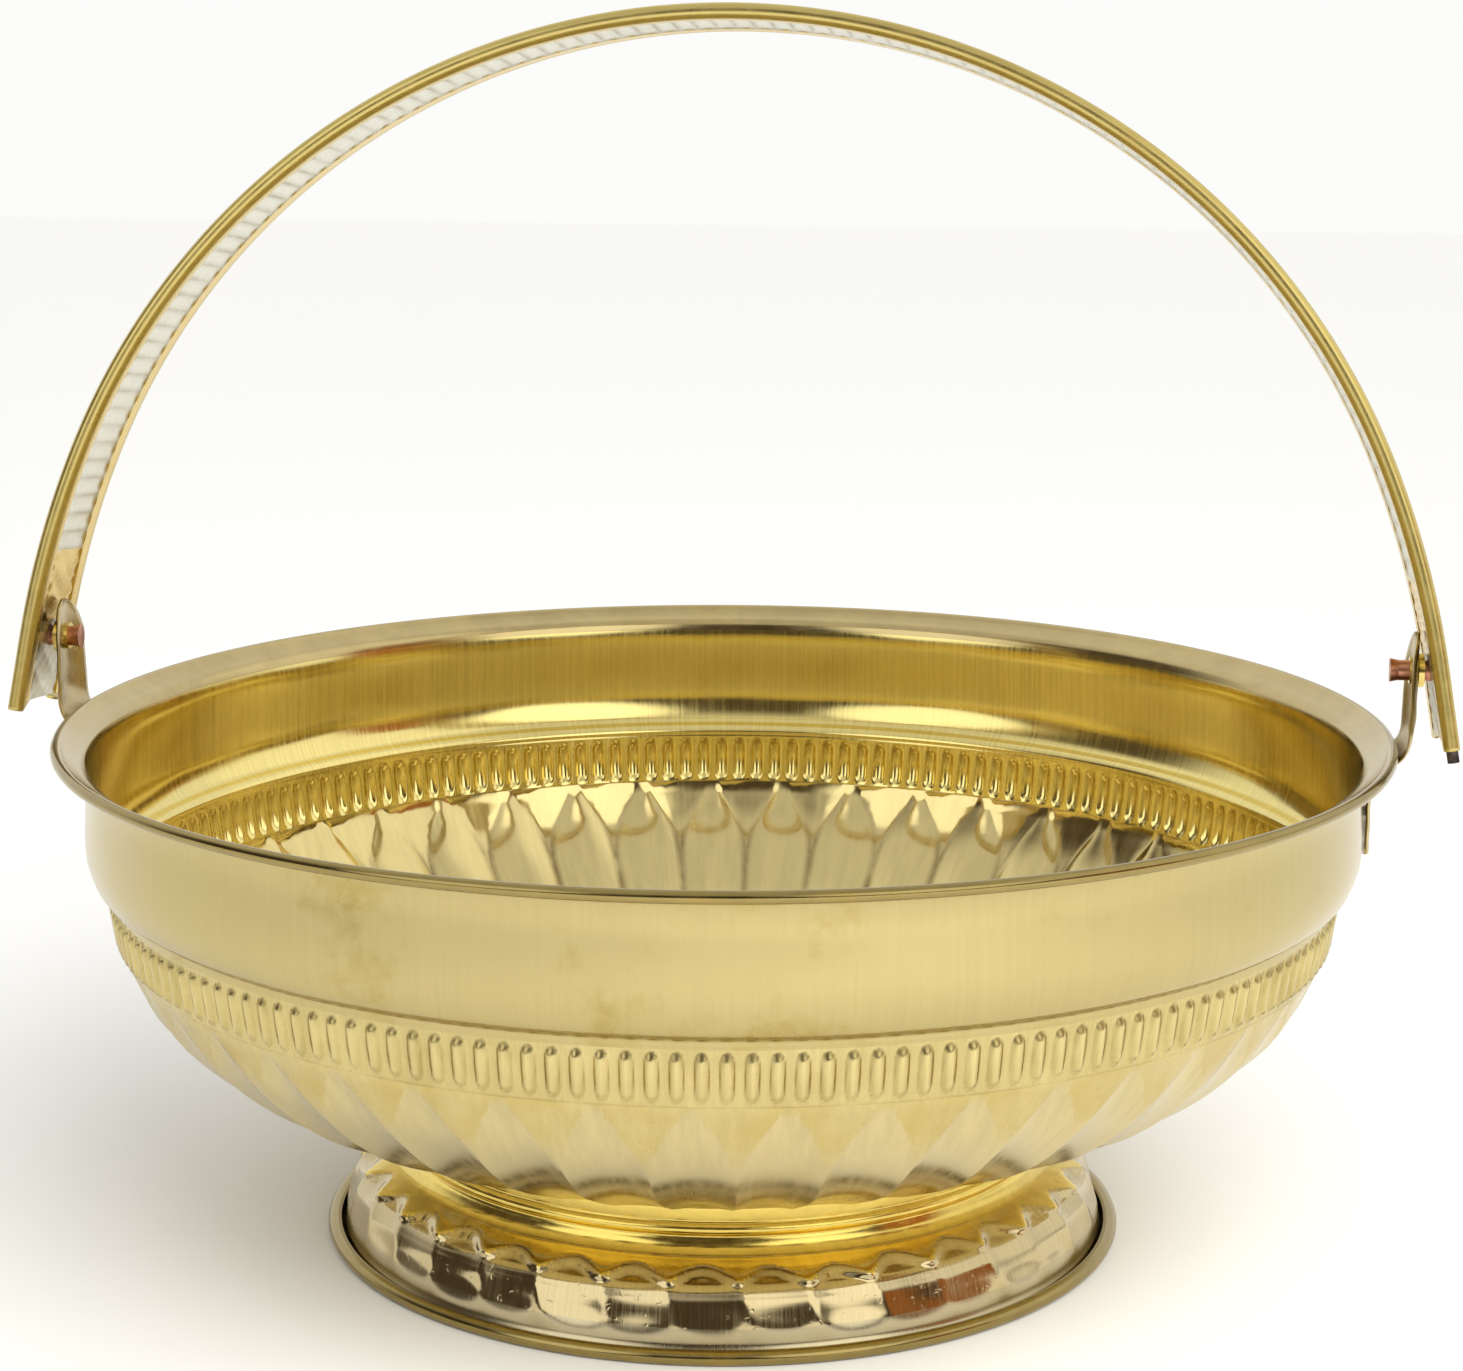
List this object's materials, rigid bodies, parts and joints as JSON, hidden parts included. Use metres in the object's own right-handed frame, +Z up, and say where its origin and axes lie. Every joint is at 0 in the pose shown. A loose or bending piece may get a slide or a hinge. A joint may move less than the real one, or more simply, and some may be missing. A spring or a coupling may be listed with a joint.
{
  "type": "footed brass urli bowl with swing handle",
  "caption": "Footed brass urli bowl with ribbed band, pointed flutes and rolled rim, and an arched wired-edge strip handle that swings on copper rivets.",
  "frame": {"origin": "centre of the foot's underside, on the surface that the bowl stands on", "axes": "+Z up along the bowl's axis, +X along the handle's pivot axis towards the longer rivet tail, +Y towards the side that the handle leans to at rest"},
  "size_m": [0.2706, 0.25, 0.2308],
  "materials": {
    "bowl_brass": "polished sheet brass, brushed upright, faint tarnish",
    "foot_brass": "mirror polished, hammered skirt",
    "handle_brass": "polished curled edges, embossed inner face",
    "ear_brass": "satin, filed edges",
    "washer_brass": "bright",
    "rivet_copper": "copper, worn satin, cut end",
    "wire_iron": "dark drawn iron wire",
    "solder_brass": "dull filler"
  },
  "bodies": {
    "vessel": {"bowl": "bowl_brass", "rim_wire": "wire_iron", "foot": "foot_brass", "foot_wire": "wire_iron", "foot_solder_ring": "solder_brass", "ear_left": "ear_brass", "ear_right": "ear_brass", "ear_solder_left": "solder_brass", "ear_solder_right": "solder_brass", "rivet_left": "rivet_copper", "rivet_right": "rivet_copper", "rivet_ring_left": "washer_brass", "rivet_ring_right": "washer_brass", "spacer_left": "washer_brass", "spacer_right": "washer_brass"},
    "handle": {"handle_strip": "handle_brass", "handle_wire_front": "wire_iron", "handle_wire_back": "wire_iron"}
  },
  "joints": [
    {"name": "handle_swing", "type": "hinge", "parent": "vessel", "child": "handle", "pos_m": [0, 0, 0.111], "axis": [1, 0, 0], "range_deg": [-83, 95]}
  ]
}
